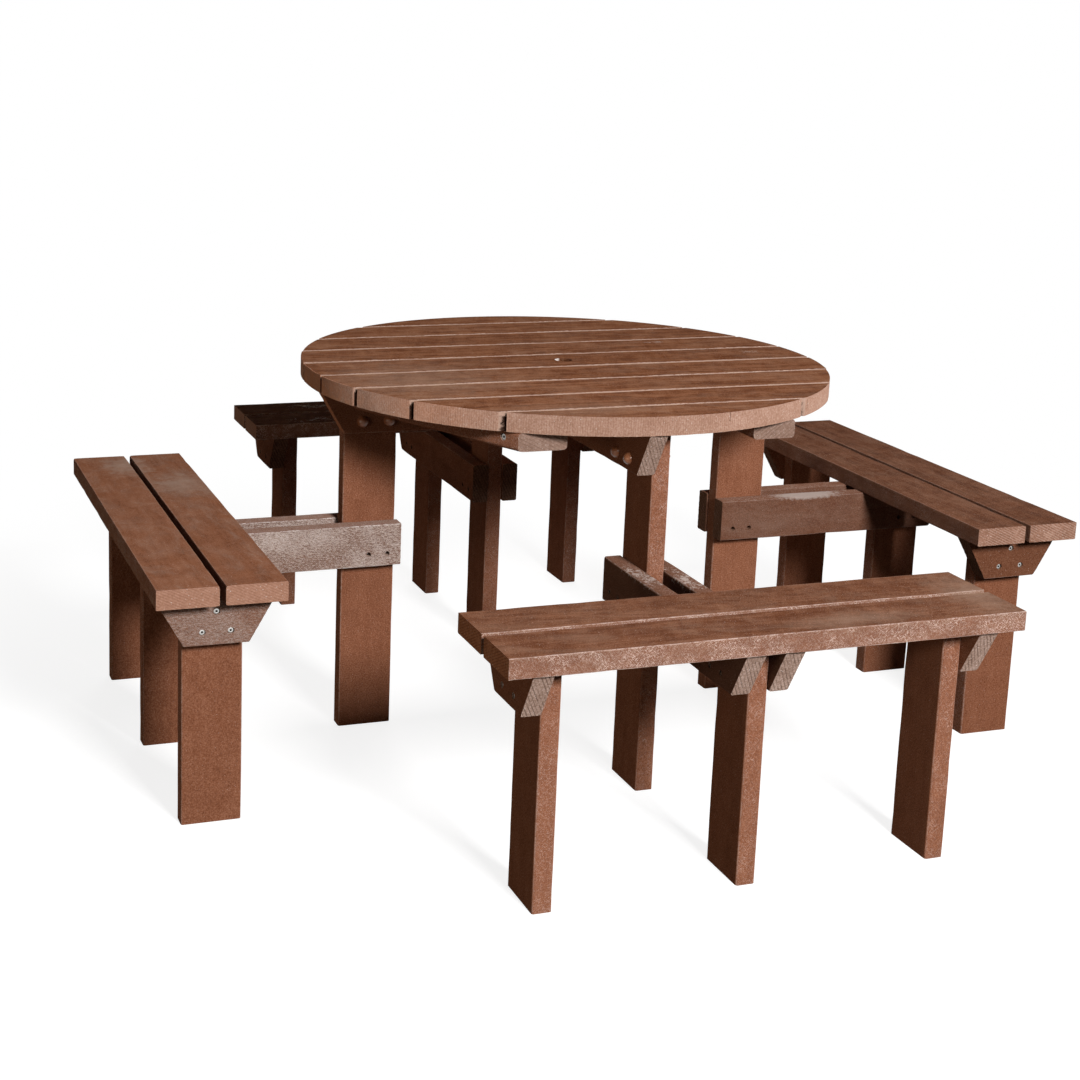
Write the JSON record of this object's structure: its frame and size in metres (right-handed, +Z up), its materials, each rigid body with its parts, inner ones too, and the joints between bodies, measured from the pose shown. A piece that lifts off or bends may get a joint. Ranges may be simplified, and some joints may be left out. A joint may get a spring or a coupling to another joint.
{
  "type": "picnic table",
  "caption": "Round slatted picnic table with attached slatted benches on every side, built of thick recycled plastic planks, with a parasol hole in the middle of the top.",
  "frame": {"origin": "on the ground, under the middle of the parasol hole", "axes": "+Z up; X along the tabletop's slats; the front bench is at -Y and the right bench at +X"},
  "size_m": [1.834, 1.834, 0.73],
  "materials": {
    "plank_plastic": "brown recycled plastic plank, streaked and flecked, dull, with pale worn edges",
    "screw_steel": "bright zinc plated",
    "bolt_brown": "coppery brown coating, half gloss",
    "nut_steel": "zinc plated"
  },
  "bodies": {
    "root": {"back_bench_cleat_1": "plank_plastic", "back_bench_cleat_2": "plank_plastic", "back_bench_leg_1": "plank_plastic", "back_bench_leg_2": "plank_plastic", "back_bench_leg_3": "plank_plastic", "back_seat_rail_1": "plank_plastic", "back_seat_rail_2": "plank_plastic", "back_seat_slat_inner": "plank_plastic", "back_seat_slat_outer": "plank_plastic", "batten_back_left": "plank_plastic", "batten_back_right": "plank_plastic", "batten_front_left": "plank_plastic", "batten_front_right": "plank_plastic", "bearer_front_back": "plank_plastic", "bearer_left_right": "plank_plastic", "cleat_screws": "screw_steel", "coach_bolts": "bolt_brown", "flange_nuts": "nut_steel", "front_bench_cleat_1": "plank_plastic", "front_bench_cleat_2": "plank_plastic", "front_bench_leg_1": "plank_plastic", "front_bench_leg_2": "plank_plastic", "front_bench_leg_3": "plank_plastic", "front_seat_rail_1": "plank_plastic", "front_seat_rail_2": "plank_plastic", "front_seat_slat_inner": "plank_plastic", "front_seat_slat_outer": "plank_plastic", "left_bench_cleat_1": "plank_plastic", "left_bench_cleat_2": "plank_plastic", "left_bench_leg_1": "plank_plastic", "left_bench_leg_2": "plank_plastic", "left_bench_leg_3": "plank_plastic", "left_seat_rail_1": "plank_plastic", "left_seat_rail_2": "plank_plastic", "left_seat_slat_inner": "plank_plastic", "left_seat_slat_outer": "plank_plastic", "rail_screws": "screw_steel", "right_bench_cleat_1": "plank_plastic", "right_bench_cleat_2": "plank_plastic", "right_bench_leg_1": "plank_plastic", "right_bench_leg_2": "plank_plastic", "right_bench_leg_3": "plank_plastic", "right_seat_rail_1": "plank_plastic", "right_seat_rail_2": "plank_plastic", "right_seat_slat_inner": "plank_plastic", "right_seat_slat_outer": "plank_plastic", "slat_screws": "screw_steel", "table_leg_back": "plank_plastic", "table_leg_front": "plank_plastic", "table_leg_left": "plank_plastic", "table_leg_right": "plank_plastic", "top_slat_back_1": "plank_plastic", "top_slat_back_2": "plank_plastic", "top_slat_back_3": "plank_plastic", "top_slat_back_4": "plank_plastic", "top_slat_front_1": "plank_plastic", "top_slat_front_2": "plank_plastic", "top_slat_front_3": "plank_plastic", "top_slat_front_4": "plank_plastic", "top_slat_middle": "plank_plastic"}
  },
  "joints": []
}
